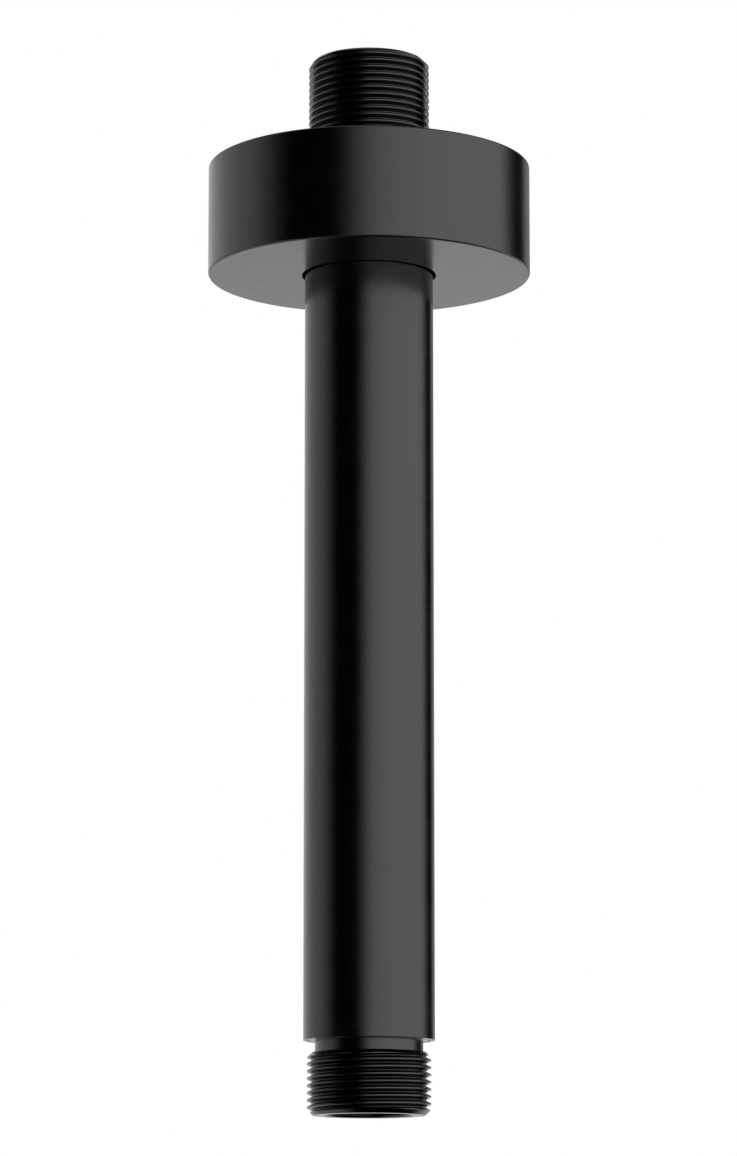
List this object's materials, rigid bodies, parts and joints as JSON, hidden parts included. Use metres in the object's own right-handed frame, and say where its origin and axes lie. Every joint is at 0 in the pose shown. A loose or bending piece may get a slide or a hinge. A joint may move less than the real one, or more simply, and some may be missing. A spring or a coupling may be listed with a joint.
{
  "type": "ceiling shower arm",
  "caption": "Straight ceiling shower arm: a round tube with a threaded end at the top and bottom and a round flange that slides on it to cover the hole in the ceiling.",
  "frame": {"origin": "where the arm's axis crosses the plane of the ceiling, which is the plane of the flange's rim; the upper thread begins just below it", "axes": "+Z along the arm's axis, up into the ceiling, so the arm hangs towards -Z; the arm is round, so +X and +Y are free, and the picture looks along +Y from a little below"},
  "size_m": [0.0558, 0.0558, 0.1829],
  "materials": {
    "tube_coating": "satin black coating",
    "thread_coating": "satin black coating over a cut thread",
    "flange_coating": "satin black coating",
    "ring_rubber": "matt black rubber"
  },
  "bodies": {
    "arm": {"arm_tube": "tube_coating", "upper_fitting": "thread_coating", "lower_fitting": "thread_coating"},
    "grip_ring": {"grip_ring": "ring_rubber"},
    "flange": {"flange": "flange_coating"}
  },
  "joints": [
    {"name": "flange_slide", "type": "slide", "parent": "arm", "child": "grip_ring", "axis": [0, 0, -1], "range_m": [0, 0.132]},
    {"name": "flange_turn", "type": "hinge", "parent": "grip_ring", "child": "flange", "pos_m": [0, 0, -0.0163], "axis": [0, 0, 1], "continuous": true}
  ]
}
